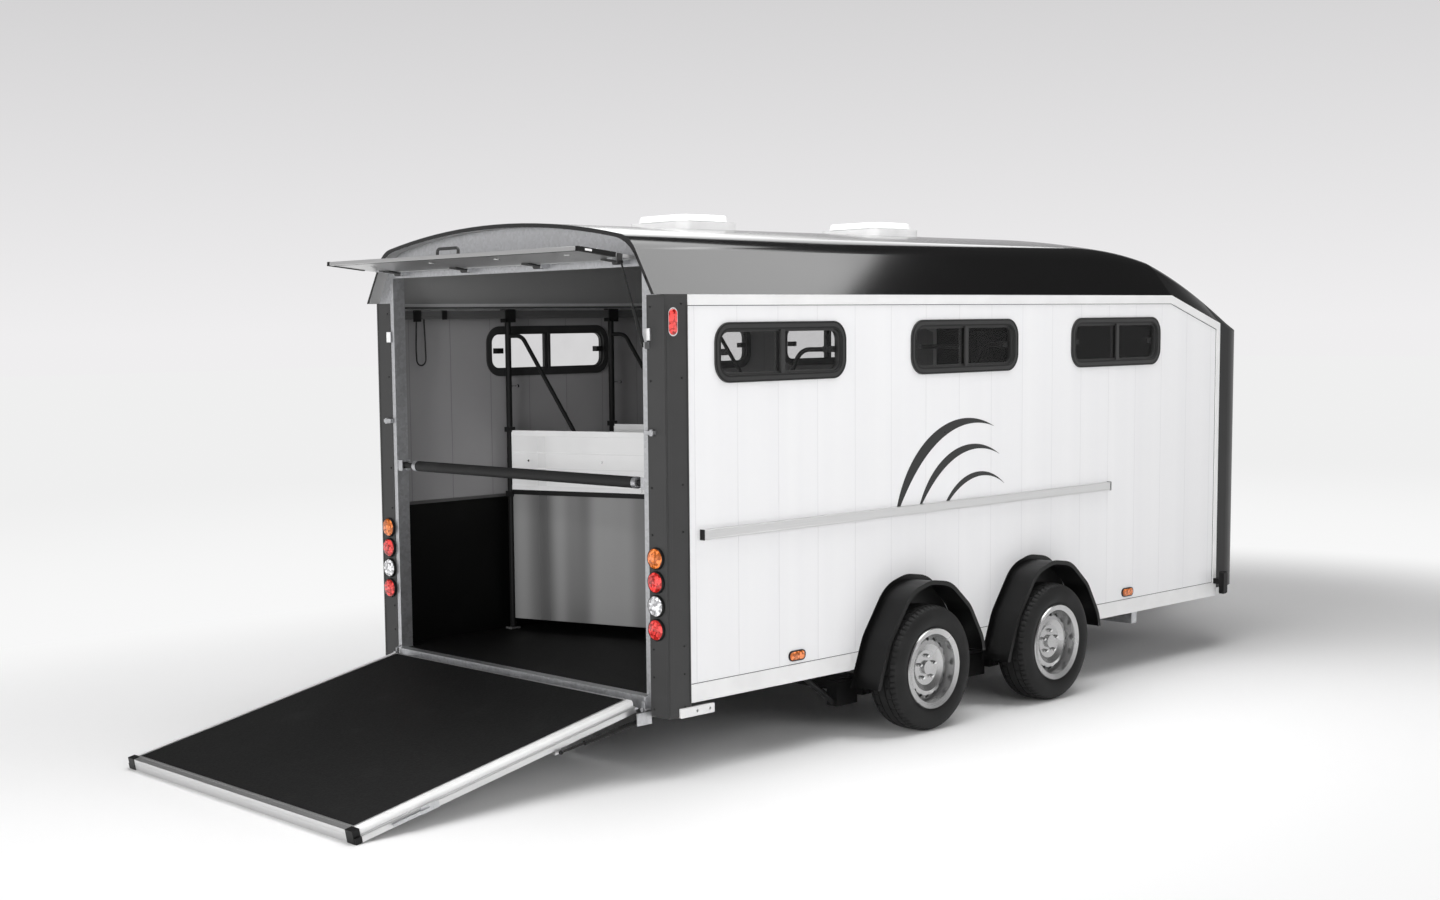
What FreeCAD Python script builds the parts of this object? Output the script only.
"""Horse trailer with a rear ramp, three slanted stalls and a twin axle, in millimetres.

X points forward, Y to the left, Z up.  The pieces are drawn from the rear face of the body (x = 0), its
middle plane (y = 0) and the ground (z = 0), and seated so that the middle of the tow ball is the origin.
"""
import FreeCAD, Part
import math
import os
import re

from FreeCAD import Rotation, Vector

# Sizes: word, millimetres or degrees, what it is
SIZES = (
    ("body_width", 2044, "over the side walls"),
    ("body_length", 4455, "rear face to the front corner trims"),
    ("wall_thick", 26, "side wall panel"),
    ("wall_top", 2016, "top of the wall panels"),
    ("skirt_low", 322, "bottom of the white skirt rail"),
    ("skirt_top", 401, "top of the skirt rail"),
    ("rail_proud", 6, "white rails stand this far out of the wall"),
    ("trim_wide", 36, "front corner trim, seen from the side"),
    ("roof_edge", 2061, "lower edge of the roof, over the stalls"),
    ("fall_long", 526, "how far behind the corner trims that edge starts to fall"),
    ("roof_fall", 16.8, "degrees that the edge falls from there"),
    ("crown_high", 337, "crown of the roof over its edge"),
    ("crown_early", 649, "how far before the edge the crown starts to fall"),
    ("crown_round", 2600, "radius of that fall"),
    ("crown_radius", 4300, "radius of the roof, seen from behind"),
    ("side_lean", 30, "degrees that the roof's sides lean in"),
    ("roof_overhang", 60, "roof past the rear face"),
    ("shell_thick", 18, "roof and nose moulding"),
    ("nose_long", 355, "nose in front of the corner trims"),
    ("nose_low", 366, "underside of the nose"),
    ("nose_round", 250, "plan radius of its corners"),
    ("plan_trim", 0.5, "the plan lies this far inside the roof's sides, so that their faces cross"),
    ("post_wide", 109, "rear post, seen from behind"),
    ("post_long", 133, "rear post, seen from the side"),
    ("post_leg", 40, "thickness of its two legs"),
    ("post_foot", 268, "bottom of the rear posts"),
    ("strip_wide", 28, "bright strip beside the doorway"),
    ("strip_deep", 70, "depth of that strip"),
    ("header_low", 2182, "top of the rear doorway"),
    ("header_thick", 40, "header and gable sheet"),
    ("sill_top", 352, "top of the rear sill and the floor mat"),
    ("sill_rear", -10, "rear face of the sill"),
    ("sill_deep", 56, "height of the sill"),
    ("mat_thick", 6, "rubber floor mat"),
    ("board_thick", 18, "floor board"),
    ("beam_deep", 78, "chassis beams"),
    ("beam_wide", 60, "chassis beams"),
    ("beam_apart", 1300, "between the middles of the long beams"),
    ("kick_high", 700, "top of the kick boards over the floor"),
    ("kick_thick", 8, "kick boards"),
    ("window_long", 855, "window frames"),
    ("window_high", 260, "window frames"),
    ("window_mid", 1813, "middle height of the windows"),
    ("window_first", 720, "middle of the rear right window"),
    ("window_pitch", 1333, "from window to window on the right"),
    ("left_first", 1095, "middle of the rear left window"),
    ("left_pitch", 1145, "from window to window on the left"),
    ("window_round", 88, "corner radius of the frames"),
    ("window_band", 33, "width of the frames"),
    ("frame_proud", 9, "frames stand this far out of the wall"),
    ("pane_thick", 5, "window panes"),
    ("wheel_rear", 1576, "middle of the rear wheels"),
    ("wheel_pitch", 1009, "rear wheels to front wheels"),
    ("tyre_radius", 300, "to the ground"),
    ("tyre_wide", 185, "across the sidewalls"),
    ("tyre_gap", 6, "between wall and tyre"),
    ("rim_radius", 194, "over the flange"),
    ("rim_bed", 172, "radius of the drop centre"),
    ("hub_radius", 28, "hole in the middle of the rim"),
    ("axle_behind", 185, "axle tube behind the wheel centres"),
    ("axle_low", 170, "underside of the axle tubes"),
    ("axle_tube", 80, "square axle tubes"),
    ("drum_radius", 115, "brake drums"),
    ("guard_wide", 150, "mudguards out from the wall"),
    ("guard_thick", 5, "mudguards"),
    ("guard_round", 190, "radius of their corners"),
    ("ramp_hinge_x", -45, "hinge of the ramp"),
    ("ramp_slope", 11.2, "degrees, ramp on the ground"),
    ("ramp_in", 5, "ramp inside the doorway, each side"),
    ("ramp_start", 17, "hinge to the ramp's first edge"),
    ("ramp_long", 1500, "hinge to the ramp's tip"),
    ("ramp_mat_top", 22, "top of the mat over the hinge line"),
    ("ramp_under", 30, "underside of the rails below the hinge line"),
    ("ramp_border", 54, "ramp's edge to its mat"),
    ("ramp_panel_thick", 26, "panel under the mat"),
    ("ramp_mat_thick", 5, "mat on the ramp"),
    ("spring_out", 17, "gas springs of the ramp, out from its edge"),
    ("spring_pin_x", -73, "lower pin of the ramp's gas springs"),
    ("spring_pin_z", 251, "lower pin of the ramp's gas springs"),
    ("spring_eye_out", 472, "upper pin along the ramp"),
    ("spring_eye_up", -39, "upper pin over the hinge line"),
    ("flap_hinge_x", -35, "hinge of the flap"),
    ("flap_hinge_z", 2203, "hinge of the flap"),
    ("flap_rise", 6.1, "degrees that the open flap points up"),
    ("flap_in", 122, "flap inside the body's side"),
    ("flap_start", 18, "hinge to the flap's first edge"),
    ("flap_long", 334, "hinge to the flap's outer edge"),
    ("flap_under", 4, "underside of the flap over the hinge line"),
    ("flap_thick", 14, "flap"),
    ("strut_out", 13, "gas strut of the flap, out from its edge"),
    ("strut_pin_x", -20, "lower pin of the flap's strut"),
    ("strut_pin_z", 1850, "lower pin of the flap's strut"),
    ("strut_eye_out", 105, "upper pin along the flap"),
    ("strut_eye_up", -18, "upper pin over the hinge line"),
    ("hinge_pin", 8, "radius of the hinge pins"),
    ("pin_fit", 0.05, "running clearance of a pin, on the radius"),
    ("bar_x", 30, "breech bar"),
    ("bar_z", 1265, "breech bar"),
    ("bar_in", 23, "pivot of the breech bar inside the doorway"),
    ("bar_radius", 13, "steel of the breech bar"),
    ("bar_pad", 25, "radius of its padding"),
    ("pole_in", 51, "left poles of the partitions, inside the wall"),
    ("pole_first", 774, "first pole"),
    ("pole_pitch", 730, "from pole to pole"),
    ("pole_radius", 16, "poles"),
    ("slant", 18, "degrees, partitions to the cross direction"),
    ("ball_reach", 5950, "rear face to the tow ball"),
    ("ball_high", 430, "middle of the tow ball over the ground"),
    ("socket_radius", 25.2, "coupling socket for a 50 mm ball"),
    ("jockey_back", 620, "jockey wheel's tube behind the tow ball"),
    ("jockey_y", 225, "jockey wheel's tube"),
    ("jockey_tube", 30, "outer radius of that tube"),
    ("jockey_slip", 0.1, "between the tubes, on the radius"),
    ("jockey_wheel", 100, "radius of the jockey wheel"),
    ("jockey_trail", 45, "its axle behind the tube's axis"),
    ("lamp_top", 952, "highest rear lamp"),
    ("lamp_pitch", 101.5, "from lamp to lamp"),
    ("lamp_round", 47.5, "radius of the lamps"),
    ("lamp_inset", 64, "lamps in from the body's side"),
    ("gap", 0.3, "between curved faces that touch"),
)

# Places that follow from the sizes: word, rule, what it is
PLACES = (
    ("roof_bend", "body_length - fall_long", "where the roof's edge starts to fall"),
    ("crown_bend", "body_length - fall_long - crown_early", "where the crown starts to fall"),
    ("nose_front", "body_length + nose_long", "front of the nose"),
    ("door_half", "body_width / 2 - post_wide - strip_wide", "half width of the doorway"),
    ("ramp_half", "body_width / 2 - post_wide - strip_wide - ramp_in", "half width of the ramp"),
    ("ramp_mat_half", "body_width / 2 - post_wide - strip_wide - ramp_in - ramp_border",
     "half width of the ramp's mat"),
    ("spring_y", "body_width / 2 - post_wide - strip_wide - ramp_in + spring_out",
     "gas springs of the ramp, from the middle plane"),
    ("flap_half", "body_width / 2 - flap_in", "half width of the flap"),
    ("strut_y", "body_width / 2 - flap_in + strut_out", "gas strut of the flap, from the middle plane"),
    ("bar_end_y", "body_width / 2 - post_wide - strip_wide - bar_in", "pivot of the breech bar"),
    ("pole_y", "body_width / 2 - wall_thick - pole_in", "left poles of the partitions"),
    ("jockey_x", "ball_reach - jockey_back", "jockey wheel's tube"),
)

doc = FreeCAD.newDocument("horse_trailer")
sheet = doc.addObject("Spreadsheet::Sheet", "Sizes")
for row, (word, value, meaning) in enumerate(SIZES, start=1):
    sheet.set("A%d" % row, word)
    sheet.set("B%d" % row, str(value))
    sheet.set("C%d" % row, meaning)
    sheet.setAlias("B%d" % row, word)
doc.recompute()
places = doc.addObject("App::VarSet", "Places")
PLACE_WORDS = [word for word, _, _ in PLACES]


class Size:
    """Reads a size from the sheet, or a place that follows from the sizes, by its word."""

    def __getattr__(self, word):
        if word in PLACE_WORDS:
            return float(places.getPropertyByName(word))
        return float(sheet.get(word))


size = Size()
SIZE_PATTERN = re.compile(r"\b(" + "|".join(word for word, _, _ in SIZES) + r")\b")
PLACE_PATTERN = re.compile(r"\b(" + "|".join(PLACE_WORDS) + r")\b")


def bind(thing, prop, rule):
    """Ties a property to the sizes: each word in the rule becomes its cell or its place."""
    rule = SIZE_PATTERN.sub(r"Sizes.\1", str(rule))
    thing.setExpression(prop, PLACE_PATTERN.sub(r"Places.\1", rule))


for word, rule, meaning in PLACES:
    places.addProperty("App::PropertyFloat", word, "Places", meaning)
    bind(places, word, rule)
doc.recompute()


def new(kind, name):
    return doc.addObject(kind, name)


def box(name, x, y, z):
    """A box between pairs of rules or numbers."""
    solid = new("Part::Box", name)
    for side, corner, (low, high) in (("Length", "x", x), ("Width", "y", y), ("Height", "z", z)):
        bind(solid, side, "(%s) - (%s)" % (high, low))
        bind(solid, "Placement.Base." + corner, low)
    return solid


TURNS = {"x": Rotation(Vector(0, 1, 0), 90), "y": Rotation(Vector(1, 0, 0), -90), "z": Rotation()}


def rod(name, along, start, length, radius):
    """A cylinder from a point (three rules) along x, y or z."""
    solid = new("Part::Cylinder", name)
    solid.Placement.Rotation = TURNS[along]
    for corner, rule in zip("xyz", start):
        bind(solid, "Placement.Base." + corner, rule)
    bind(solid, "Height", length)
    bind(solid, "Radius", radius)
    return solid


def fuse(name, *things):
    whole = new("Part::MultiFuse", name)
    whole.Shapes = list(things)
    return whole


def cut(name, base, *tools):
    """Base less the tools, one after the other."""
    for number, tool in enumerate(tools):
        whole = new("Part::Cut", name if number == len(tools) - 1 else "%s_step_%d" % (name, number))
        whole.Base = base
        whole.Tool = tool
        base = whole
    return base


def group(name, *things):
    """Several solids of one piece that don't touch."""
    whole = new("Part::Compound", name)
    whole.Links = list(things)
    return whole


def mirrored(name, thing):
    """The same piece on the other side of the middle plane."""
    other = new("Part::Mirroring", name)
    other.Source = thing
    other.Normal = Vector(0, 1, 0)
    return other


def both_sides(name, thing):
    return group(name, thing, mirrored(name + "_other_side", thing))


def drawn(name, shape):
    """A piece whose shape is worked out with Part's own functions."""
    thing = new("Part::Feature", name)
    thing.Shape = shape if shape.Placement.isIdentity() else Part.Compound([shape])
    return thing


def face_of(points):
    return Part.Face(Part.makePolygon([*points, points[0]]))


def upright_edges(shape):
    return [edge for edge in shape.Edges if abs(edge.tangentAt(edge.FirstParameter).z) > 0.99]


def tube_path(points, bend):
    """Straight runs joined by tangent arcs of one radius."""
    edges = []
    start = points[0]
    for before, corner, after in zip(points, points[1:], points[2:]):
        back = (before - corner).normalize()
        on = (after - corner).normalize()
        half = (math.pi - back.getAngle(on)) / 2
        reach = bend * math.tan(half)
        middle = (back + on).normalize() * (bend / math.cos(half) - bend)
        first = corner + back * reach
        last = corner + on * reach
        edges.append(Part.makeLine(start, first))
        edges.append(Part.Arc(first, corner + middle, last).toShape())
        start = last
    edges.append(Part.makeLine(start, points[-1]))
    return Part.Wire(edges)


def bent_rod(name, points, bend, radius):
    """A round bar that follows the points."""
    path = tube_path([Vector(*point) for point in points], bend)
    ring = Part.Wire(Part.makeCircle(radius, path.Vertexes[0].Point, path.Edges[0].tangentAt(0)))
    return drawn(name, path.makePipeShell([ring], True, True))


# Seats: name, three rules of the seat's origin, its axis, the rule of its turn
SEATS = {
    "body": (("-ball_reach", "0", "-ball_high"), Vector(0, 1, 0), "0"),
    "ramp": (("ramp_hinge_x - ball_reach", "0",
              "ramp_long * sin(ramp_slope * 1deg) + ramp_under * cos(ramp_slope * 1deg) - ball_high"),
             Vector(0, 1, 0), "-ramp_slope"),
    "flap": (("flap_hinge_x - ball_reach", "0", "flap_hinge_z - ball_high"), Vector(0, 1, 0), "flap_rise"),
}
for number in range(3):
    SEATS["partition_%d" % (number + 1)] = (
        ("pole_first + %d * pole_pitch - ball_reach" % number, "pole_y", "sill_top - ball_high"),
        Vector(0, 0, 1), "slant")

NODES = []


def node(thing, label, seat="body"):
    """Gives a finished piece its name and its seat."""
    if thing.TypeId in ("Part::Box", "Part::Cylinder"):
        thing = group(label + "_seated", thing)
    origin, axis, turn = SEATS[seat]
    thing.Label = label
    thing.Placement.Rotation = Rotation(axis, 1)
    for corner, rule in zip("xyz", origin):
        bind(thing, "Placement.Base." + corner, rule)
    bind(thing, "Placement.Rotation.Angle", turn)
    NODES.append(thing)
    return thing


# Mudguard arch corners as (along from the wheel centre, height over the ground), rear to front
ARCH = ((-373, 240), (-286, 461), (-127, 675), (20, 711), (171, 690), (325, 563), (431, 392), (441, 328))
GUARD_FLANGE = 24
HALF = size.body_width / 2
FLOOR_LOW = size.sill_top - size.mat_thick - size.board_thick
LONG_BEAM = "sill_top - mat_thick - board_thick"


# Roof and nose moulding

def roof_drop(x):
    """How far the crown has come down at x."""
    past = max(0.0, x - size.crown_bend)
    return size.crown_round - math.sqrt(size.crown_round ** 2 - past ** 2)


def edge_drop(x):
    """How far the lower edge has come down at x."""
    return max(0.0, x - size.roof_bend) * math.tan(math.radians(size.roof_fall))


def roof_section(x, inset):
    """Wire of the roof's section at x: side, corner arc, crown arc, corner arc, side and a flat bottom."""
    half = HALF - inset
    edge = size.roof_edge - edge_drop(x)
    full = size.crown_high - inset
    high = full - roof_drop(x) + edge_drop(x)
    lean = math.radians(size.side_lean)
    squeeze = high / full
    crown = size.crown_radius
    # the side line y = half - tan(lean) * z meets the tangent of the crown arc at the corner
    tilt = math.asin((half - 204 - inset) / crown)
    top_y = crown * math.sin(tilt)
    top_z = full - crown * (1 - math.cos(tilt))
    meet_z = (top_z + math.tan(tilt) * (top_y - half)) / (1 - math.tan(tilt) * math.tan(lean))
    meet_y = half - math.tan(lean) * meet_z
    reach = math.hypot(meet_y - top_y, meet_z - top_z)
    low_y = meet_y + reach * math.sin(lean)
    low_z = meet_z - reach * math.cos(lean)
    to_top = Vector(0, top_y - meet_y, top_z - meet_z).normalize()
    to_low = Vector(0, low_y - meet_y, low_z - meet_z).normalize()
    half_angle = to_top.getAngle(to_low) / 2
    corner_radius = reach * math.tan(half_angle)
    inward = (to_top + to_low).normalize() * (corner_radius / math.sin(half_angle) - corner_radius)

    def at(y, z):
        return Vector(x, y, edge + z * squeeze)

    middle_y = meet_y + inward.y
    middle_z = meet_z + inward.z
    bottom = size.nose_low - 40
    right = [
        Part.makeLine(Vector(x, half, bottom), at(half, 0)),
        Part.makeLine(at(half, 0), at(low_y, low_z)),
        Part.Arc(at(low_y, low_z), at(middle_y, middle_z), at(top_y, top_z)).toShape(),
        Part.Arc(at(top_y, top_z), at(0, full), at(-top_y, top_z)).toShape(),
        Part.Arc(at(-top_y, top_z), at(-middle_y, middle_z), at(-low_y, low_z)).toShape(),
        Part.makeLine(at(-low_y, low_z), at(-half, 0)),
        Part.makeLine(at(-half, 0), Vector(x, -half, bottom)),
        Part.makeLine(Vector(x, -half, bottom), Vector(x, half, bottom)),
    ]
    return Part.Wire(right)


def body_block(inset):
    """The whole outer form under the roof, or its inside when inset by the moulding."""
    straight = Part.Face(roof_section(-size.roof_overhang, inset)).extrude(
        Vector(size.crown_bend + size.roof_overhang, 0, 0))
    bend = size.roof_bend
    front = size.nose_front + 40
    middle = Part.makeLoft([roof_section(x, inset) for x in
                            (size.crown_bend, (size.crown_bend + bend) / 2, bend)], True)
    fall = Part.makeLoft([roof_section(x, inset) for x in
                          (bend, bend + (front - bend) / 3, bend + (front - bend) * 2 / 3, front)], True)
    return straight.fuse(middle).fuse(fall)


def plan_block(inset, low):
    """Plan of body and nose with rounded front corners, drawn up."""
    half = HALF - inset - size.plan_trim
    front = size.nose_front - inset
    round_off = size.nose_round - inset
    back = -size.roof_overhang - 10
    slant_in = round_off * (1 - math.sqrt(0.5))
    edges = [
        Part.makeLine(Vector(back, -half, low), Vector(front - round_off, -half, low)),
        Part.Arc(Vector(front - round_off, -half, low), Vector(front - slant_in, -half + slant_in, low),
                 Vector(front, -half + round_off, low)).toShape(),
        Part.makeLine(Vector(front, -half + round_off, low), Vector(front, half - round_off, low)),
        Part.Arc(Vector(front, half - round_off, low), Vector(front - slant_in, half - slant_in, low),
                 Vector(front - round_off, half, low)).toShape(),
        Part.makeLine(Vector(front - round_off, half, low), Vector(back, half, low)),
        Part.makeLine(Vector(back, half, low), Vector(back, -half, low)),
    ]
    return Part.Face(Part.Wire(edges)).extrude(Vector(0, 0, 2600 - low))


def below_roof(drop=0.0):
    """Everything behind the nose and below the roof's edge."""
    front = size.body_length
    fall = edge_drop(front)
    points = [Vector(-500, -1500, 0), Vector(front, -1500, 0),
              Vector(front, -1500, size.roof_edge - fall - drop),
              Vector(size.roof_bend, -1500, size.roof_edge - drop), Vector(-500, -1500, size.roof_edge - drop)]
    return face_of(points).extrude(Vector(0, 3000, 0))


outer_form = body_block(0.0).common(plan_block(0.0, size.nose_low))
inner_form = body_block(size.shell_thick).common(plan_block(size.shell_thick, size.nose_low + size.shell_thick))
moulding = outer_form.cut(inner_form).cut(below_roof())
behind_nose = Part.makeBox(size.body_length + 600, 3000, 3000, Vector(-600, -1500, 0))
node(drawn("roof_moulding", moulding.common(behind_nose)), "roof_shell")
node(drawn("nose_moulding", moulding.cut(behind_nose)), "nose_shell")


# Side walls with their windows

def wall_outline(low, top, back, front):
    """Outline of a wall from low to a top line that falls with the roof's edge."""
    fall = math.tan(math.radians(size.roof_fall))
    return [(back, low), (front, low), (front, top - max(0.0, front - size.roof_bend) * fall),
            (size.roof_bend, top), (back, top)]


def rounded_plate(middle, length, height, radius, low_y, high_y):
    """An upright plate with round corners, around (x, z)."""
    x, z = middle
    plate = Part.makeBox(length, high_y - low_y, height, Vector(x - length / 2, low_y, z - height / 2))
    upright = [edge for edge in plate.Edges if abs(edge.tangentAt(edge.FirstParameter).y) > 0.99]
    return plate.makeFillet(radius, upright)


RIGHT_WINDOWS = [size.window_first + k * size.window_pitch for k in range(3)]
LEFT_WINDOWS = [size.left_first + k * size.left_pitch for k in range(3)]
INSIDE = HALF - size.wall_thick
WALL_FRONT = size.body_length - size.trim_wide


def window_cuts(middles, extra):
    """Openings for the frames: frame size less its visible band, plus extra."""
    depth = size.window_band - 12 - extra
    return [rounded_plate((x, size.window_mid), size.window_long - 2 * depth, size.window_high - 2 * depth,
                          size.window_round - depth, INSIDE - 30, HALF + 30) for x in middles]


def side_wall(name, middles):
    outline = wall_outline(size.skirt_top, size.wall_top, size.post_long, WALL_FRONT)
    wall = face_of([Vector(x, INSIDE, z) for x, z in outline]).extrude(Vector(0, size.wall_thick, 0))
    for opening in window_cuts(middles, 0.0):
        wall = wall.cut(opening)
    return drawn(name, wall)


node(side_wall("left_wall", LEFT_WINDOWS), "side_wall_left")
node(mirrored("right_wall", side_wall("right_wall_drawn", RIGHT_WINDOWS)), "side_wall_right")


def window_frame(x):
    """Bands on both faces of the wall, a liner through it and the bars in the middle."""
    mid = size.window_mid
    band = size.window_band
    liner = band - 12
    slot = liner + 9
    outer = rounded_plate((x, mid), size.window_long, size.window_high, size.window_round,
                          HALF, HALF + size.frame_proud)
    sleeve = rounded_plate((x, mid), size.window_long - 2 * liner, size.window_high - 2 * liner,
                           size.window_round - liner, INSIDE - 6, HALF)
    inner = rounded_plate((x, mid), size.window_long, size.window_high, size.window_round, INSIDE - 8, INSIDE)
    hole = rounded_plate((x, mid), size.window_long - 2 * band, size.window_high - 2 * band,
                         size.window_round - band, INSIDE - 40, HALF + 40)
    bar_high = size.window_high - 2 * slot
    bar = Part.makeBox(26, size.frame_proud, bar_high, Vector(x - 13, HALF, mid - bar_high / 2))
    inner_bar = Part.makeBox(14, 8, bar_high, Vector(x - 7, INSIDE - 8, mid - bar_high / 2))
    return outer.fuse(sleeve).fuse(inner).cut(hole).fuse(bar).fuse(inner_bar)


def window_pane(x):
    """Two panes, one behind the other, that meet at the bar."""
    band = size.window_band
    half_long = size.window_long / 2 - band
    high = size.window_high - 2 * band
    low = size.window_mid - high / 2
    panes = []
    for back, front, depth in ((x - half_long, x + 12, 9), (x + 1 - 12, x + half_long, 17)):
        y = HALF - depth
        pane = Part.makeBox(front - back, size.pane_thick, high, Vector(back, y, low))
        corner = size.window_round - band
        outside = back if depth == 9 else front
        upright = [edge for edge in pane.Edges if abs(edge.tangentAt(edge.FirstParameter).y) > 0.99
                   and abs(edge.Vertexes[0].X - outside) < 1]
        panes.append(pane.makeFillet(corner, upright))
    return panes


left_frames = drawn("left_frames", Part.makeCompound([window_frame(x) for x in LEFT_WINDOWS]))
right_frames = mirrored("right_frames", drawn("right_frames_drawn", Part.makeCompound(
    [window_frame(x) for x in RIGHT_WINDOWS])))
node(group("all_frames", left_frames, right_frames), "window_frames")
left_panes = drawn("left_panes", Part.makeCompound([p for x in LEFT_WINDOWS for p in window_pane(x)]))
right_panes = mirrored("right_panes", drawn("right_panes_drawn", Part.makeCompound(
    [p for x in RIGHT_WINDOWS for p in window_pane(x)])))
node(group("all_panes", left_panes, right_panes), "window_panes")


def edge_rails():
    """Top rail, front corner trim and skirt rail of the left side, as one frame around the wall."""
    proud = HALF + size.rail_proud
    inner = INSIDE
    front = size.body_length
    whole = face_of([Vector(x, inner, z) for x, z in
                     wall_outline(size.skirt_low, size.roof_edge, size.post_long, front)])
    whole = whole.extrude(Vector(0, proud - inner, 0))
    field = face_of([Vector(x, inner - 1, z) for x, z in
                     wall_outline(size.skirt_top, size.wall_top, size.post_long - 1, WALL_FRONT)])
    whole = whole.cut(field.extrude(Vector(0, 100, 0)))
    for wheel_x in (size.wheel_rear, size.wheel_rear + size.wheel_pitch):
        behind_guard = Part.makeBox(ARCH[-1][0] - ARCH[0][0] + 2 * GUARD_FLANGE + 4, 20, 140,
                                    Vector(wheel_x + ARCH[0][0] - GUARD_FLANGE - 2, HALF, size.skirt_low - 40))
        stub_notch = Part.makeBox(300, 100, 50, Vector(wheel_x - 150, inner - 1, size.skirt_low - 1))
        whole = whole.cut(behind_guard).cut(stub_notch)
    return whole


node(both_sides("side_rails", drawn("left_rails", edge_rails())), "edge_rails")
rub_rail = box("rub_rail_left", (198, 3312), ("body_width / 2", "body_width / 2 + 24"), (1020, 1062))
node(both_sides("rub_rail_pair", rub_rail), "rub_rails")
kick = box("kick_left", ("post_long", "body_length - trim_wide"),
           ("body_width / 2 - wall_thick - kick_thick", "body_width / 2 - wall_thick"),
           ("sill_top", "sill_top + kick_high"))
node(both_sides("kick_pair", kick), "kick_boards")

# Floor and chassis
BETWEEN_WALLS = ("-body_width / 2 + wall_thick", "body_width / 2 - wall_thick")
IN_DOORWAY = ("-body_width / 2 + post_wide + strip_wide", "body_width / 2 - post_wide - strip_wide")
board_low = "sill_top - mat_thick - board_thick"
board_back = box("board_back", ("sill_rear + 50", "post_long"), IN_DOORWAY, (board_low, "sill_top - mat_thick"))
board_main = box("board_main", ("post_long", "body_length"), BETWEEN_WALLS, (board_low, "sill_top - mat_thick"))
node(fuse("board", board_back, board_main), "floor_board")
mat_back = box("mat_back", ("sill_rear + 50", "post_long"), IN_DOORWAY, ("sill_top - mat_thick", "sill_top"))
mat_main = box("mat_main", ("post_long", "body_length"), BETWEEN_WALLS, ("sill_top - mat_thick", "sill_top"))
node(fuse("mat", mat_back, mat_main), "floor_mat")

beam_z = ("sill_top - mat_thick - board_thick - beam_deep", board_low)
long_beam = box("long_beam", (40, "body_length + 160"),
                ("beam_apart / 2 - beam_wide / 2", "beam_apart / 2 + beam_wide / 2"), beam_z)
# Cross beams: place along the body, how far they reach past the long beams
CROSS_BEAMS = ((75, 20), (760, 20), (1880, 20), (2890, 20), (3620, 312), (4380, 20))
cross_beams = [box("cross_beam_%d" % number, (x, x + 50),
                   ("-beam_apart / 2 - beam_wide / 2 - %d" % past,
                    "beam_apart / 2 + beam_wide / 2 + %d" % past), beam_z)
               for number, (x, past) in enumerate(CROSS_BEAMS)]
other_beam = mirrored("long_beam_right", long_beam)
node(fuse("frame", long_beam, other_beam, *cross_beams), "chassis_frame")

# Rear frame
post_rear = box("post_rear_leg", (0, "post_leg"), ("body_width / 2 - post_wide", "body_width / 2"),
                ("post_foot", "roof_edge"))
post_side = box("post_side_leg", ("post_leg", "post_long"), ("body_width / 2 - post_leg", "body_width / 2"),
                ("post_foot", "roof_edge"))
node(both_sides("posts", fuse("post", post_rear, post_side)), "rear_posts")
bracket = box("side_bracket", (62, 262), ("body_width / 2", "body_width / 2 + 14"), (266, 306))
bracket_holes = [rod("side_bracket_hole_%d" % x, "y", (x, "body_width / 2 - 1", 286), "16", "7")
                 for x in (158, 236)]
node(both_sides("bracket_pair", cut("side_bracket_drilled", bracket, *bracket_holes)), "side_brackets")

strip = box("strip", (2, "strip_deep"),
            ("body_width / 2 - post_wide - strip_wide", "body_width / 2 - post_wide"),
            ("sill_top - sill_deep", "header_low"))
STRIKER = ((-18, 0), ("body_width / 2 - 117", "body_width / 2 - 60"), (1476, 1492))
striker = box("striker", *STRIKER)
catch = box("catch_plate", (-6, 0), ("body_width / 2 - 118", "body_width / 2 - 84"), (1870, 1922))
strut_foot = box("strut_foot", ("strut_pin_x - 8", 0), ("strut_y + 9", "strut_y + 15"),
                 ("strut_pin_z - 14", "strut_pin_z + 14"))
strut_pin = rod("strut_pin", "y", ("strut_pin_x", "strut_y - 9", "strut_pin_z"), "24", "4")
strut_seat = mirrored("strut_seat_right", fuse("strut_seat", strut_foot, strut_pin))
spring_foot = box("spring_foot", (-86, 0), ("spring_y + 14", "spring_y + 20"),
                  ("spring_pin_z - 14", "spring_pin_z + 40"))
spring_pin = rod("spring_pin", "y", ("spring_pin_x", "spring_y - 10", "spring_pin_z"), "28", "5")
strip_sets = both_sides("strips", group("strip_set", strip, striker, catch,
                                        fuse("spring_seat", spring_foot, spring_pin)))
node(group("strips_and_seat", strip_sets, strut_seat), "rear_strips")


def hinge_pair(name, x, z, places, reach_x, reach_z):
    """Fixed lugs and pins of a hinge along y: a pin between two lugs at each place."""
    sets = []
    for number, y in enumerate(places):
        for side, low in ((0, y - 34), (1, y + 26)):
            sets.append(box("%s_lug_%d_%d" % (name, number, side), reach_x, (low, low + 8), reach_z))
        sets.append(rod("%s_pin_%d" % (name, number), "y", (x, y - 34, z), "68", "hinge_pin"))
    return sets


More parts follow.
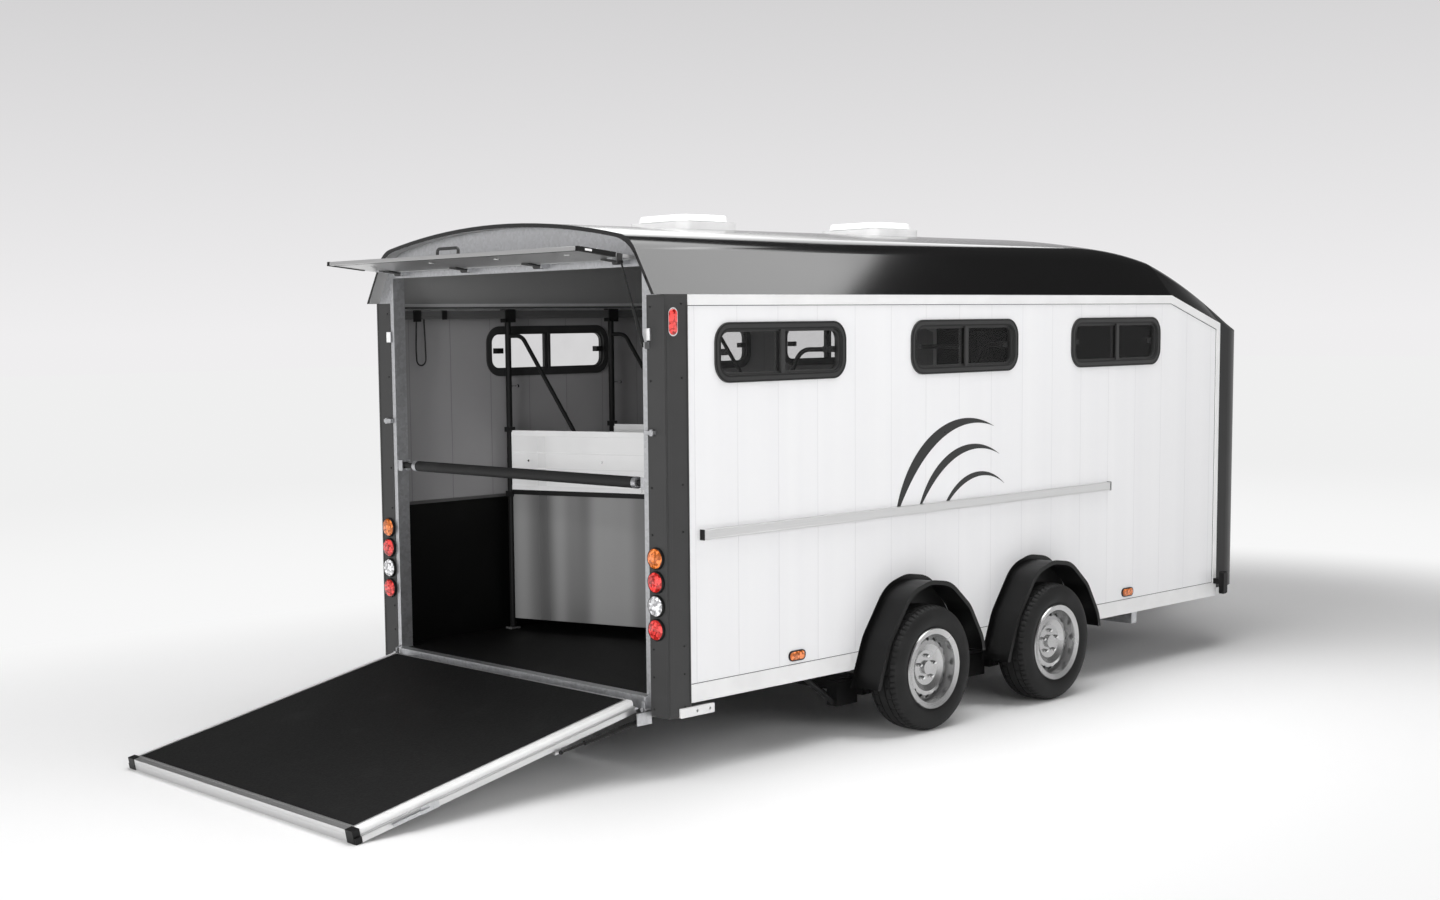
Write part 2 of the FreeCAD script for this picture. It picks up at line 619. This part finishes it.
RAMP_HINGE_Z = "ramp_long * sin(ramp_slope * 1deg) + ramp_under * cos(ramp_slope * 1deg)"
RAMP_HINGES = (-720, 0, 720)
FLAP_HINGES = (-780, -260, 260, 780)
sill_bar = box("sill_bar", ("sill_rear", "sill_rear + 50"), IN_DOORWAY, ("sill_top - sill_deep", "sill_top"))
sill_lugs = hinge_pair("sill", "ramp_hinge_x", RAMP_HINGE_Z, RAMP_HINGES,
                       ("ramp_hinge_x - hinge_pin - 3", "sill_rear + 1"),
                       (RAMP_HINGE_Z + " - hinge_pin - 3", RAMP_HINGE_Z + " + hinge_pin + 3"))
node(fuse("sill", sill_bar, *sill_lugs), "rear_sill")

gable_form = Part.Face(roof_section(0.0, size.shell_thick + size.gap)).extrude(Vector(size.header_thick, 0, 0))
gable_form = gable_form.cut(Part.makeBox(200, 3000, size.header_low, Vector(-50, -1500, 0)))
gable = drawn("gable", gable_form)
header_lugs = hinge_pair("header", "flap_hinge_x", "flap_hinge_z", FLAP_HINGES,
                         ("flap_hinge_x - hinge_pin - 3", 1),
                         ("flap_hinge_z - hinge_pin - 3", "flap_hinge_z + hinge_pin + 3"))
cheek_form = Part.Face(roof_section(0.0, size.shell_thick + size.gap)).extrude(Vector(size.header_thick, 0, 0))
cheek_form = cheek_form.common(Part.makeBox(200, size.post_wide + size.strip_wide, size.header_low - size.roof_edge,
                                            Vector(-50, HALF - size.post_wide - size.strip_wide, size.roof_edge)))
cheek_form = cheek_form.cut(Part.makeBox(200, size.strip_wide, 3000, Vector(
    -50, HALF - size.post_wide - size.strip_wide, 0)))
cheek = drawn("cheek_left", cheek_form)
node(fuse("header", gable, cheek, mirrored("cheek_right", cheek), *header_lugs), "rear_header")


# Wheels, axles and guards

def rim_seat(clear):
    """Corners of the bead seat and flange on the +y side, as (y, radius), moved off the rim by clear."""
    wide = size.tyre_wide / 2
    return [(70, size.rim_bed + clear), (wide - 14 - clear, size.rim_radius - 16 + clear),
            (wide - 10 - clear, size.rim_radius + clear)]


def flipped(corners):
    return [(-y, radius) for y, radius in reversed(corners)]


def tyre_profile():
    """Section of the tyre about its own axis, as (y, radius) corners, from the +y bead round the tread."""
    wide = size.tyre_wide / 2
    high = size.tyre_radius
    side = [*rim_seat(size.gap), (wide - 2, size.rim_radius + 14), (wide, size.rim_radius + 42),
            (wide - 10, high - 22), (wide - 20, high - 8), (wide - 36, high)]
    return side + flipped(side)


def turned(profile, centre):
    """A ring from (y, radius) corners turned about the Y axis through the centre."""
    face = face_of([Vector(centre[0], centre[1] + y, centre[2] + radius) for y, radius in profile])
    return face.revolve(Vector(*centre), Vector(0, 1, 0), 360)


TYRE_MIDDLE = HALF + size.tyre_gap + size.tyre_wide / 2

def rim_shape(centre, outward):
    """Rim with its bed, disc, holes and bolt heads; outward is +1 on the left side."""
    wide = size.tyre_wide / 2
    bed = size.rim_bed
    flange = size.rim_radius
    outer = [(wide - 4, flange - 4), (wide - 12, bed - 8)]
    ring = rim_seat(0.0) + outer
    ring = ring + flipped(ring)
    barrel = turned(ring, (0, 0, 0))
    disc = [(10, bed - 4), (22, bed - 4), (46, 132), (50, 112), (36, 84), (36, size.hub_radius),
            (30, size.hub_radius), (30, 88), (43, 112), (40, 130)]
    dish = turned(disc, (0, 0, 0))
    for k in range(16):
        angle = 2 * math.pi * k / 16
        at = Vector(138 * math.sin(angle), 5, 138 * math.cos(angle))
        hole = Part.makeCylinder(9.5, 60, at, Vector(0, 1, 0))
        dish = dish.cut(hole)
    shape = barrel.fuse(dish)
    for k in range(5):
        angle = 2 * math.pi * k / 5
        at = Vector(56 * math.sin(angle), 30, 56 * math.cos(angle))
        shape = shape.fuse(Part.makeCylinder(9, 18, at, Vector(0, 1, 0)))
    cap = Part.makeCylinder(size.hub_radius + 4, 14, Vector(0, 35.5, 0), Vector(0, 1, 0))
    shape = shape.fuse(cap)
    if outward < 0:
        shape = shape.mirror(Vector(0, 0, 0), Vector(0, 1, 0))
    shape.translate(Vector(*centre))
    return shape


WHEELS = (  # name, place along the body, side (+1 left)
    ("rear_left", size.wheel_rear, 1), ("rear_right", size.wheel_rear, -1),
    ("front_left", size.wheel_rear + size.wheel_pitch, 1),
    ("front_right", size.wheel_rear + size.wheel_pitch, -1),
)
for name, x, side in WHEELS:
    centre = (x, side * TYRE_MIDDLE, size.tyre_radius)
    node(drawn("tyre_" + name, turned(tyre_profile(), centre)), "tyre_" + name)
    node(drawn("rim_" + name, rim_shape(centre, side)), "rim_" + name)

axle_pieces = []
tube_middle = size.axle_low + size.axle_tube / 2
arm_turn = math.degrees(math.atan2(size.tyre_radius - tube_middle, size.axle_behind))
for number, x in enumerate((size.wheel_rear, size.wheel_rear + size.wheel_pitch)):
    axle_x = "wheel_rear + %d * wheel_pitch - axle_behind" % number
    tube = box("axle_tube_%d" % number, (axle_x + " - axle_tube / 2", axle_x + " + axle_tube / 2"),
               ("-body_width / 2 + 70", "body_width / 2 - 70"), ("axle_low", "axle_low + axle_tube"))
    sides = [tube]
    for side in (1, -1):
        y = side * (HALF - 62)
        arm = Part.makeBox(235, 30, 44, Vector(x - size.axle_behind - 30, y - 15, tube_middle - 22))
        arm.rotate(Vector(x - size.axle_behind, y, tube_middle), Vector(0, 1, 0), -arm_turn)
        drum = Part.makeCylinder(size.drum_radius, 66, Vector(x, side * (HALF + 8), size.tyre_radius),
                                 Vector(0, side, 0))
        stub = Part.makeCylinder(size.hub_radius - size.pin_fit, TYRE_MIDDLE + 35 - (HALF - 80),
                                 Vector(x, side * (HALF - 80), size.tyre_radius), Vector(0, side, 0))
        sides.append(drawn("knuckle_%d_%d" % (number, side), arm.fuse(drum).fuse(stub)))
    axle_pieces.append(fuse("axle_%d" % number, *sides))
node(group("axle_pair", *axle_pieces), "axles")


def place_at(seat, out, up):
    """World (x, z) of a point given along and over a leaf that is hinged like the ramp or the flap."""
    if seat == "ramp":
        x, z, turn = size.ramp_hinge_x, ramp_hinge_z(), -size.ramp_slope
    else:
        x, z, turn = size.flap_hinge_x, size.flap_hinge_z, size.flap_rise
    turn = math.radians(turn)
    return (x - out * math.cos(turn) + up * math.sin(turn), z + out * math.sin(turn) + up * math.cos(turn))


def ramp_hinge_z():
    slope = math.radians(size.ramp_slope)
    return size.ramp_long * math.sin(slope) + size.ramp_under * math.cos(slope)


# Black brackets and stays beside the axle tubes
brackets = []
for side in (1, -1):
    for x in (size.wheel_rear, size.wheel_rear + size.wheel_pitch):
        back = x - size.axle_behind - size.axle_tube / 2
        block = Part.makeBox(150, 60, 116, Vector(back - 150, side * (HALF - 130) - 30, 132))
        top = Vector(back - 360, side * (HALF - 130), FLOOR_LOW - 20)
        down = Vector(back - 140, top.y, 150) - top
        brackets.append(block.fuse(Part.makeCylinder(15, down.Length, top, down)))
node(drawn("bracket_set", Part.makeCompound(brackets)), "axle_brackets")



def guard_shape(wheel_x):
    """Arched sheet with a flange on the wall and a lip on its outer edge."""
    ends = [(ARCH[0][0], ARCH[0][1] - 200), *ARCH, (ARCH[-1][0], ARCH[-1][1] - 200)]
    corners = [Vector(wheel_x + x, HALF, z) for x, z in ends]
    outline = Part.Wire([*tube_path(corners, size.guard_round).Edges, Part.makeLine(corners[-1], corners[0])])

    def shell_between(grow, shrink, low, high):
        outer = Part.Face(outline.makeOffset2D(grow) if grow else outline)
        inner = Part.Face(outline.makeOffset2D(-shrink))
        band = outer.cut(inner)
        band.translate(Vector(0, low, 0))
        return band.extrude(Vector(0, high - low, 0))

    sheet_part = shell_between(0, size.guard_thick, 0, size.guard_wide)
    flange = shell_between(GUARD_FLANGE, size.guard_thick, 0, 4)
    lip = shell_between(6, 15, size.guard_wide - 6, size.guard_wide)
    whole = sheet_part.fuse(flange).fuse(lip)
    keep = face_of([Vector(wheel_x + x, HALF - 10, z) for x, z in
                    ((-500, ARCH[0][1]), (0, ARCH[0][1]), (0, ARCH[-1][1]), (600, ARCH[-1][1]), (600, 900),
                     (-500, 900))])
    return whole.common(keep.extrude(Vector(0, 400, 0)))


guards = Part.makeCompound([guard_shape(size.wheel_rear + k * size.wheel_pitch) for k in range(2)])
node(both_sides("guards", drawn("left_guards", guards)), "mudguards")

# Lamps
lamps = [rod("lamp_%d" % k, "x", (-18, "body_width / 2 - lamp_inset", "lamp_top - %d * lamp_pitch" % k),
             "18", "lamp_round") for k in range(4)]
node(both_sides("lamps", group("lamp_column", *lamps)), "rear_lamps")
amber = [rounded_plate((x, 441), 110, 48, 23, HALF, HALF + 14) for x in (809, 3521)]
red = rounded_plate((42, 1947), 54, 120, 26, HALF, HALF + 16)
arm = Part.makeBox(26, 70, 30, Vector(4424, HALF + size.rail_proud, 395))
arm_lamp = Part.makeBox(44, 36, 130, Vector(4412, HALF + size.rail_proud + 44, 340))
arm_lamp = arm_lamp.makeFillet(10, upright_edges(arm_lamp))
markers = drawn("left_markers", Part.makeCompound([*amber, red, arm.fuse(arm_lamp)]))
node(both_sides("marker_set", markers), "marker_lamps")

# Roof vents: two-tier domes on the crown
vents = []
for x in (1130, 2560):
    crown = size.roof_edge + size.crown_high
    lower = Part.makeBox(400, 400, 42, Vector(x - 200, -200, crown - 8))
    lower = lower.makeFillet(60, upright_edges(lower))
    upper = Part.makeBox(330, 330, 34, Vector(x - 165, -165, crown + 34))
    upper = upper.makeFillet(60, upright_edges(upper))
    vents.append(lower.fuse(upper).cut(body_block(-size.gap)))
node(drawn("vent_pair", Part.makeCompound(vents)), "roof_vents")

# Rails inside
RAIL_LOW = 1982
rail = box("upper_rail", (96, "pole_first + 2 * pole_pitch + 200"), ("pole_y - 18", "pole_y + 18"),
           (RAIL_LOW, RAIL_LOW + 42))
rail_parts = [rail]
for number, x in enumerate((140, 900, 1650, 2360)):
    rail_parts.append(box("rail_foot_%d" % number, (x, x + 40), ("pole_y + 18", "body_width / 2 - wall_thick"),
                          (1996, 2020)))
rail_body = fuse("rail_body", *rail_parts)
bores = []
sockets = []
for number in range(3):
    pole_x = "pole_first + %d * pole_pitch" % number
    bores.append(rod("top_bore_%d" % number, "z", (pole_x, "pole_y", RAIL_LOW - 1), "16", "8 + pin_fit"))
    plate = box("floor_plate_%d" % number, (pole_x + " - 30", pole_x + " + 30"), ("pole_y - 24", "pole_y + 24"),
                ("sill_top", "sill_top + 8"))
    bore = rod("floor_bore_%d" % number, "z", (pole_x, "pole_y", "sill_top - 1"), "12", "8 + pin_fit")
    sockets.append(cut("socket_%d" % number, plate, bore))
caps = both_sides("kick_caps", box("kick_cap", ("post_long", "body_length - trim_wide"),
                  ("body_width / 2 - wall_thick - kick_thick - 8", "body_width / 2 - wall_thick"),
                  ("sill_top + kick_high", "sill_top + kick_high + 14")))
node(group("rails", cut("drilled_rail", rail_body, *bores), *sockets, caps), "interior_rails")

# Partitions: drawn along -y from their pole, height from the floor
PARTITION_LONG = 2008
for number in range(3):
    name = "partition_%d" % (number + 1)
    pole = rod(name + "_pole", "z", (0, 0, 9), str(RAIL_LOW - 2 - size.sill_top - 9), "pole_radius")
    pins = [rod(name + "_foot", "z", (0, 0, 1), "8", "8"),
            rod(name + "_head", "z", (0, 0, str(RAIL_LOW - 2 - size.sill_top)), "12", "8")]
    bars = [box("%s_bar_%d" % (name, k), (-11, 11), (-PARTITION_LONG, -10), pair)
            for k, pair in enumerate(((713, 738), (1024, 1044)))]
    end = box(name + "_end", (-11, 11), (-PARTITION_LONG, -PARTITION_LONG + 25), (54, 1044))
    sheet_low = box(name + "_sheet", (-3, 3), (-PARTITION_LONG + 10, -12), (54, 720))
    left_bend = bent_rod(name + "_left_bend", [(0, 0, 1540), (0, -85, 1540), (0, -400, 1034)], 60, 11)
    right_bend = bent_rod(name + "_right_bend",
                          [(0, -1459, 1034), (0, -1659, 1458), (0, -PARTITION_LONG, 1458)], 70, 11)
    node(fuse(name + "_frame_parts", pole, *pins, *bars, end, sheet_low, left_bend, right_bend),
         name + "_frame", name)
    node(box(name + "_panel", (-9, 9), (-PARTITION_LONG + 25, -16), (738, 1024)), name + "_board", name)

# Breech bar: pivots about an axis along the trailer at its left end
bar_eye = rod("bar_eye", "x", ("bar_x - 15", "bar_end_y", "bar_z"), "30", "16")
bar_steel = rod("bar_steel", "y", ("bar_x", "-bar_end_y + 8", "bar_z"), "2 * bar_end_y - 8", "bar_radius")
bar_padding = rod("bar_padding", "y", ("bar_x", "-bar_end_y + 65", "bar_z"), "2 * bar_end_y - 178",
                  "bar_pad")
bar_hole = rod("bar_hole", "x", ("bar_x - 20", "bar_end_y", "bar_z"), "40", "6 + pin_fit")
node(cut("bar", fuse("bar_whole", bar_eye, bar_steel, bar_padding), bar_hole), "breech_bar")
bar_sets = []
for side, low, high in (("left", "bar_end_y - 12", "body_width / 2 - post_wide - strip_wide"),
                        ("right", "-body_width / 2 + post_wide + strip_wide", "-bar_end_y + 4")):
    plates = [box("bar_plate_%s_%d" % (side, k), pair, (low, high), ("bar_z - 26", "bar_z + 26"))
              for k, pair in enumerate((("bar_x - 24", "bar_x - 19"), ("bar_x + 19", "bar_x + 24")))]
    wall_y = (high + " - 5", high) if side == "left" else (low, low + " + 5")
    plates.append(box("bar_base_" + side, ("bar_x - 24", "bar_x + 24"), wall_y, ("bar_z - 26", "bar_z + 26")))
    if side == "left":
        plates.append(rod("bar_pin", "x", ("bar_x - 24", "bar_end_y", "bar_z"), "48", "6"))
    bar_sets.append(fuse("bar_holder_" + side, *plates))
node(group("bar_holder_pair", *bar_sets), "bar_holders")

# Ramp, drawn along -x from its hinge line, level
RAIL_IN = "ramp_mat_half + 6"
ramp_x = ("-ramp_long", "-ramp_start")
panel = box("panel", ("-ramp_long + 30", "-ramp_start"), ("-ramp_mat_half - 6", "ramp_mat_half + 6"),
            ("ramp_mat_top - ramp_mat_thick - ramp_panel_thick", "ramp_mat_top - ramp_mat_thick"))
node(panel, "ramp_panel", "ramp")
node(box("mat_on_ramp", ("-ramp_long + 30", "-ramp_start"), ("-ramp_mat_half", "ramp_mat_half"),
         ("ramp_mat_top - ramp_mat_thick", "ramp_mat_top")), "ramp_mat", "ramp")
side_rail = fuse("ramp_side", box("ramp_side_main", ramp_x, (RAIL_IN, "ramp_half - 18"),
                                  ("-ramp_under", "ramp_mat_top")),
                 box("ramp_side_foot", ramp_x, ("ramp_half - 18", "ramp_half"), ("-ramp_under", "-ramp_under + 24")))
tip = box("ramp_tip", ("-ramp_long", "-ramp_long + 30"), ("-ramp_half + 18", "ramp_half - 18"),
          ("-ramp_under", "ramp_mat_top"))
root_bar = box("ramp_root", ("-ramp_start - 30", "-ramp_start"), ("-ramp_mat_half - 6", "ramp_mat_half + 6"),
               ("-ramp_under", "ramp_mat_top - ramp_mat_thick - ramp_panel_thick"))
straps = []
holes = []
for number, y in enumerate(RAMP_HINGES):
    straps.append(box("ramp_strap_%d" % number, ("-ramp_start", 0), (y - 25, y + 25), (-20, "hinge_pin + 5")))
    straps.append(rod("ramp_sleeve_%d" % number, "y", (0, y - 25, 0), "50", "hinge_pin + 5"))
    holes.append(rod("ramp_bore_%d" % number, "y", (0, y - 26, 0), "52", "hinge_pin + pin_fit"))
eye_seat = fuse("eye_seat", box("eye_block", ("-spring_eye_out - 18", "-spring_eye_out + 18"),
                                ("ramp_half - 14", "ramp_half"), ("spring_eye_up - 9", "-ramp_under")),
                rod("eye_pin", "y", ("-spring_eye_out", "ramp_half - 14", "spring_eye_up"), "spring_out + 9.5", "5"))
ramp_frame = cut("ramp_drilled", fuse("ramp_frame_parts", side_rail, mirrored("ramp_side_other", side_rail), tip,
                                      root_bar, eye_seat, mirrored("eye_seat_other", eye_seat), *straps), *holes)
node(ramp_frame, "ramp_frame", "ramp")
latch = fuse("latch", box("latch_foot", (-1190, -1100), ("ramp_half", "ramp_half + 5"),
                          ("-ramp_under", "-ramp_under + 30")),
             box("latch_lever", (-1328, -1150), ("ramp_half + 5", "ramp_half + 13"), (-22, -12)))
node(both_sides("latch_pair", latch), "ramp_latches", "ramp")

# Flap over the doorway, drawn along -x from its hinge line, level
flap_panel = box("flap_main", ("-flap_long", "-flap_start"), ("-flap_half", "flap_half"),
                 ("flap_under", "flap_under + flap_thick"))
node(flap_panel, "flap_panel", "flap")
flap_bits = []
for number, y in enumerate(FLAP_HINGES):
    strap = fuse("flap_strap_parts_%d" % number,
                 box("flap_strap_%d" % number, ("-flap_start - 60", 0), (y - 25, y + 25),
                     ("flap_under - 7", "flap_under")),
                 rod("flap_sleeve_%d" % number, "y", (0, y - 25, 0), "50", "hinge_pin + 5"))
    flap_bits.append(cut("flap_hinge_%d" % number, strap,
                         rod("flap_bore_%d" % number, "y", (0, y - 26, 0), "52", "hinge_pin + pin_fit")))
flap_eye = fuse("flap_eye", box("flap_eye_plate", ("-strut_eye_out - 14", "-strut_eye_out + 14"),
                                ("flap_half", "flap_half + 4"), ("strut_eye_up - 8", "flap_under + flap_thick")),
                rod("flap_eye_pin", "y", ("-strut_eye_out", "flap_half + 4", "strut_eye_up"),
                    "strut_out - 8.5", "4"))
FLAP_TOP = size.flap_under + size.flap_thick
HANDLE_OUT = -size.flap_long + 26
handle = bent_rod("flap_handle", [(HANDLE_OUT, -75, FLAP_TOP), (HANDLE_OUT, -75, FLAP_TOP + 32),
                                  (HANDLE_OUT, 75, FLAP_TOP + 32), (HANDLE_OUT, 75, FLAP_TOP)], 14, 7)
node(group("flap_bits", *flap_bits, mirrored("flap_eye_right", flap_eye), handle), "flap_fittings", "flap")


def gas_strut(name, pin, eye, middle_y, case_long, case_radius, rod_long, rod_radius, pin_radius):
    """Case with its lower eye on the pin, and rod with its eye."""
    start = Vector(pin[0], middle_y, pin[1])
    end = Vector(eye[0], middle_y, eye[1])
    way = (end - start).normalize()
    lug = pin_radius + 4

    def ring(at):
        return Part.makeCylinder(lug, 8, at - Vector(0, 4, 0), Vector(0, 1, 0))

    def pin_hole(at):
        return Part.makeCylinder(pin_radius + size.pin_fit, 20, at - Vector(0, 10, 0), Vector(0, 1, 0))

    case = Part.makeCylinder(case_radius, case_long - lug, start + way * lug, way).fuse(ring(start))
    case = case.fuse(Part.makeCylinder(rod_radius, lug + 4, start, way)).cut(pin_hole(start))
    case = case.cut(Part.makeCylinder(rod_radius + size.pin_fit, case_long, start + way * (lug + 4), way))
    shaft = Part.makeCylinder(rod_radius, rod_long, end, way * -1).fuse(ring(end)).cut(pin_hole(end))
    return drawn(name + "_case", case), drawn(name + "_shaft", shaft)


spring_case, spring_rod = gas_strut("ramp_spring", (size.spring_pin_x, size.spring_pin_z),
                                    place_at("ramp", size.spring_eye_out, size.spring_eye_up),
                                    size.spring_y, 300, 10, 262, 5, 5)
node(both_sides("spring_cases", spring_case), "ramp_spring_cases")
node(both_sides("spring_rods", spring_rod), "ramp_spring_rods")
strut_case, strut_rod = gas_strut("flap_strut", (size.strut_pin_x, size.strut_pin_z),
                                  place_at("flap", size.strut_eye_out, size.strut_eye_up),
                                  size.strut_y, 170, 8, 220, 4, 4)
node(mirrored("strut_case_right", strut_case), "flap_strut_cylinder")
node(mirrored("strut_rod_right", strut_rod), "flap_strut_piston")

# Drawbar, coupling and jockey wheel
DRAW_BACK = (size.body_length - 855, 600)
DRAW_FRONT = (size.ball_reach - 400, 65)
run = math.hypot(DRAW_FRONT[0] - DRAW_BACK[0], DRAW_BACK[1] - DRAW_FRONT[1])
beam_low = FLOOR_LOW - size.beam_deep
KINK = ((0, beam_low - 80), (run - 812, beam_low - 80), (run - 432, size.ball_high - 38),
        (run, size.ball_high - 38), (run, size.ball_high + 38), (run - 462, size.ball_high + 38),
        (run - 842, beam_low), (0, beam_low))
draw_angle = math.degrees(math.atan2(DRAW_BACK[1] - DRAW_FRONT[1], DRAW_FRONT[0] - DRAW_BACK[0]))


def draw_beam():
    face = face_of([Vector(x, -30, z) for x, z in KINK])
    beam = face.extrude(Vector(0, 60, 0))
    beam.rotate(Vector(0, 0, 0), Vector(0, 0, 1), -draw_angle)
    beam.translate(Vector(DRAW_BACK[0], DRAW_BACK[1], 0))
    return beam


left_beam = draw_beam()
right_beam = left_beam.mirror(Vector(0, 0, 0), Vector(0, 1, 0))
top_plate = Part.makeBox(300, 260, 8, Vector(size.ball_reach - 690, -130, size.ball_high + 38))
node(drawn("drawbar_parts", left_beam.fuse(right_beam).fuse(top_plate)), "drawbar")

plate_top = size.ball_high + 46
unit_box = Part.makeBox(232, 90, 90, Vector(size.ball_reach - 390, -45, size.ball_high - 45))
unit_top = Part.makeBox(300, 70, 50, Vector(size.ball_reach - 660, -35, plate_top))
unit_join = Part.makeBox(110, 70, 44, Vector(size.ball_reach - 410, -35, plate_top))
unit_step = Part.makeBox(88, 70, 30, Vector(size.ball_reach - 388, -35, plate_top - 16))
slider = Part.makeCylinder(30, 120, Vector(size.ball_reach - 160, 0, size.ball_high), Vector(1, 0, 0))
bellows = Part.makeCylinder(40, 70, Vector(size.ball_reach - 160, 0, size.ball_high), Vector(1, 0, 0))
lever_root = Part.makeBox(60, 16, 70, Vector(size.ball_reach - 470, -66, plate_top))
lever = Part.makeCylinder(11, 330, Vector(size.ball_reach - 440, -58, plate_top + 50), Vector(-0.75, 0, 0.66))
lever_bridge = Part.makeBox(40, 34, 16, Vector(size.ball_reach - 470, -68, plate_top))
unit = unit_box.fuse([unit_top, unit_join, unit_step, slider, bellows, lever_root, lever, lever_bridge])
node(drawn("overrun_parts", unit), "overrun_unit")
head = Part.makeCylinder(36, 66, Vector(size.ball_reach, 0, size.ball_high - 26))
neck = Part.makeBox(70, 52, 50, Vector(size.ball_reach - 80, -26, size.ball_high - 22))
grip = Part.makeBox(150, 36, 16, Vector(size.ball_reach - 130, -18, size.ball_high + 40))
head = head.fuse([neck, grip]).cut(Part.makeCylinder(31, 60, Vector(size.ball_reach - 100, 0, size.ball_high), Vector(1, 0, 0)))
ball_room = Part.makeCylinder(size.socket_radius, 27, Vector(size.ball_reach, 0, size.ball_high - 27))
ball_room = ball_room.fuse(Part.makeSphere(size.socket_radius, Vector(size.ball_reach, 0, size.ball_high)))
node(drawn("coupling", head.cut(ball_room)), "coupling_head")

CASTER = Vector(size.jockey_x, size.jockey_y, 0)
outer = Part.makeCylinder(size.jockey_tube, 450, CASTER + Vector(0, 0, 410))
clamp = Part.makeBox(50, 95, 44, CASTER + Vector(-25, -95, 418)).cut(left_beam)
tube_room = Part.makeCylinder(size.jockey_tube - 6 + size.jockey_slip, 430, CASTER + Vector(0, 0, 409))
outer = outer.fuse(clamp).cut(tube_room)
crank = tube_path([CASTER + Vector(0, 0, 850), CASTER + Vector(0, 0, 890), CASTER + Vector(120, 0, 890),
                   CASTER + Vector(120, 0, 940)], 12)
ring = Part.Wire(Part.makeCircle(7, CASTER + Vector(0, 0, 850), Vector(0, 0, 1)))
outer = outer.fuse(crank.makePipeShell([ring], True, True))
node(drawn("jockey_outer", outer), "jockey_outer_tube")
crown_z = 2 * size.jockey_wheel + 6
node(rod("jockey_inner", "z", ("jockey_x", "jockey_y", "2 * jockey_wheel + 18"), "402", "jockey_tube - 6"),
     "jockey_inner_tube")
fork = Part.makeBox(110, 74, 11.7, CASTER + Vector(-80, -37, crown_z))
for side in (1, -1):
    leg = face_of([CASTER + Vector(x, side * 31, z) for x, z in
                   ((-75, crown_z + 6), (5, crown_z + 6), (-20, 88), (-70, 88))])
    fork = fork.fuse(leg.extrude(Vector(0, side * 6, 0)))
axle_at = CASTER + Vector(-size.jockey_trail, 0, size.jockey_wheel)
fork = fork.fuse(Part.makeCylinder(8, 74, axle_at - Vector(0, 37, 0), Vector(0, 1, 0)))
node(drawn("jockey_fork_parts", fork), "jockey_fork")
tread = Part.makeCylinder(size.jockey_wheel, 50, axle_at - Vector(0, 25, 0), Vector(0, 1, 0))
tread = tread.makeFillet(14, [e for e in tread.Edges if e.Curve.TypeId == "Part::GeomCircle"])
tread = tread.cut(Part.makeCylinder(8 + size.pin_fit, 80, axle_at - Vector(0, 40, 0), Vector(0, 1, 0)))
node(drawn("jockey_wheel_parts", tread), "jockey_wheel")

# Rope loop that hangs from the upper rail: points along the body and heights, at the pole line
ROPE = ((184, RAIL_LOW), (182, 1938), (180, 1882), (178, 1830), (180, 1792), (181, 1768), (197, 1752), (220, 1752),
        (236, 1769), (238, 1794), (236, 1832), (235, 1884), (232, 1939), (231, RAIL_LOW))
ROPE_RADIUS = 4


def cord_path(points):
    """Runs joined by arcs, each as large as its two runs allow."""
    edges = []
    start = points[0]
    for before, corner, after in zip(points, points[1:], points[2:]):
        back = before - corner
        on = after - corner
        reach = 0.45 * min(back.Length, on.Length)
        back.normalize()
        on.normalize()
        turn = math.pi - back.getAngle(on)
        radius = reach / math.tan(turn / 2)
        print("rope radius %.0f" % radius)
        first = corner + back * reach
        last = corner + on * reach
        middle = corner + (back + on).normalize() * (radius / math.cos(turn / 2) - radius)
        edges.append(Part.LineSegment(start, first).toShape())
        edges.append(Part.Arc(first, middle, last).toShape())
        start = last
    edges.append(Part.LineSegment(start, points[-1]).toShape())
    return Part.Wire(edges)


rope_line = cord_path([Vector(x, size.pole_y, z) for x, z in ROPE])
rope_ring = Part.Wire(Part.makeCircle(ROPE_RADIUS, Vector(ROPE[0][0], size.pole_y, ROPE[0][1]),
                                      rope_line.Edges[0].tangentAt(0)))
rope_tube = rope_line.makePipeShell([rope_ring], True, True)
node(drawn("rope", rope_tube), "rope_loop")

doc.recompute()
for thing in doc.Objects:
    state = set(thing.State)
    if state & {"Invalid", "Error"}:
        raise RuntimeError("%s failed: %s" % (thing.Name, sorted(state)))
for thing in NODES:
    if thing.Shape.isNull() or not thing.Shape.isValid() or not thing.Shape.Solids:
        raise RuntimeError("%s has no sound shape" % thing.Label)
os.makedirs("parts", exist_ok=True)
for thing in NODES:
    thing.Shape.exportStep("parts/%s.step" % thing.Label)
print(len(NODES), "nodes,", sum(len(thing.Shape.Solids) for thing in NODES), "solids")
